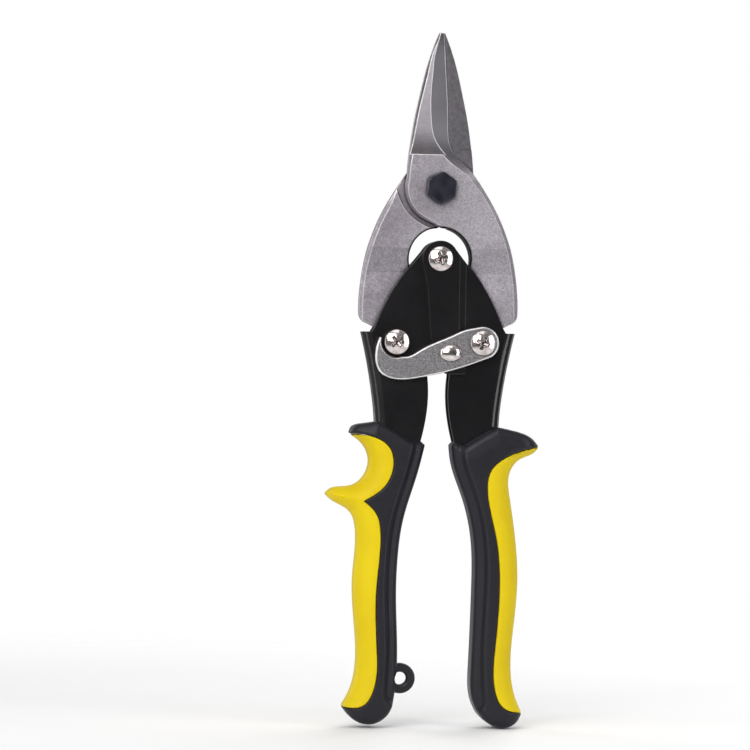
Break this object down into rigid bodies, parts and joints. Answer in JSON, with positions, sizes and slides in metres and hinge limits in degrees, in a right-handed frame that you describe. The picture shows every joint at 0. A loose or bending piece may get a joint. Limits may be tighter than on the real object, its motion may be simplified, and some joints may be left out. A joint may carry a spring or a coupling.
{
  "type": "aviation snips",
  "caption": "Straight-cut aviation snips, closed and latched: compound-leverage jaws, channel handles, hook latch and two-colour grips with a finger spur and hanging eye.",
  "frame": {"origin": "bottom centre of the whole tool's box, under the grips", "axes": "+Z along the tool from the grips to the jaws' tips, +X to the right seen from the front, -Y towards the viewer of the front"},
  "size_m": [0.0772, 0.0215, 0.25],
  "materials": {
    "jaw_steel": "satin, fine ground",
    "black_oxide": "satin black oxide",
    "zinc_plate": "bright zinc",
    "nickel_plate": "polished",
    "spring_steel": "oiled wire",
    "latch_steel": "satin with bright edges",
    "handle_lacquer": "gloss black lacquer",
    "grip_black": "matte moulded",
    "grip_yellow": "matte soft overmoulding"
  },
  "bodies": {
    "left_handle": {"left_handle": "handle_lacquer", "left_grip_body": "grip_black", "left_grip_inlay": "grip_yellow", "handle_pivot_screw": "nickel_plate", "handle_pivot_washer": "zinc_plate", "handle_pivot_nut": "zinc_plate", "handle_pivot_sleeve": "zinc_plate", "handle_spring": "spring_steel", "left_link_screw": "nickel_plate", "left_link_washer": "zinc_plate", "left_link_nut": "zinc_plate"},
    "right_handle": {"right_handle": "handle_lacquer", "right_grip_body": "grip_black", "right_grip_inlay": "grip_yellow", "right_link_screw": "nickel_plate", "right_link_washer": "zinc_plate", "right_link_nut": "zinc_plate", "latch_bush": "zinc_plate"},
    "front_jaw": {"front_jaw": "jaw_steel", "jaw_pivot_bolt": "black_oxide", "jaw_pivot_washer": "zinc_plate", "jaw_pivot_nut": "zinc_plate"},
    "rear_jaw": {"rear_jaw": "jaw_steel"},
    "latch": {"latch": "latch_steel", "latch_thumb_stud": "nickel_plate"}
  },
  "joints": [
    {"name": "handle_pivot", "type": "hinge", "parent": "left_handle", "child": "right_handle", "pos_m": [0.00145, 0, 0.1685], "axis": [0, -1, 0], "range_deg": [0, 40], "deforming": ["handle_spring"]},
    {"name": "front_jaw_link", "type": "hinge", "parent": "right_handle", "child": "front_jaw", "pos_m": [0.01695, 0, 0.1384], "axis": [0, 1, 0], "range_deg": [0, 9.9]},
    {"name": "rear_jaw_link", "type": "hinge", "parent": "left_handle", "child": "rear_jaw", "pos_m": [-0.01405, 0, 0.1384], "axis": [0, -1, 0], "range_deg": [0, 9.9]},
    {"name": "latch_pivot", "type": "hinge", "parent": "right_handle", "child": "latch", "pos_m": [0.01695, 0, 0.1384], "axis": [0, -1, 0], "range_deg": [0, 54]}
  ],
  "couplings": [
    {"joint": "front_jaw_link", "follows": "handle_pivot", "ratio": 0.2475},
    {"joint": "rear_jaw_link", "follows": "handle_pivot", "ratio": 0.2475},
    {"joint": "latch_pivot", "follows": "handle_pivot", "ratio": 1.35}
  ]
}
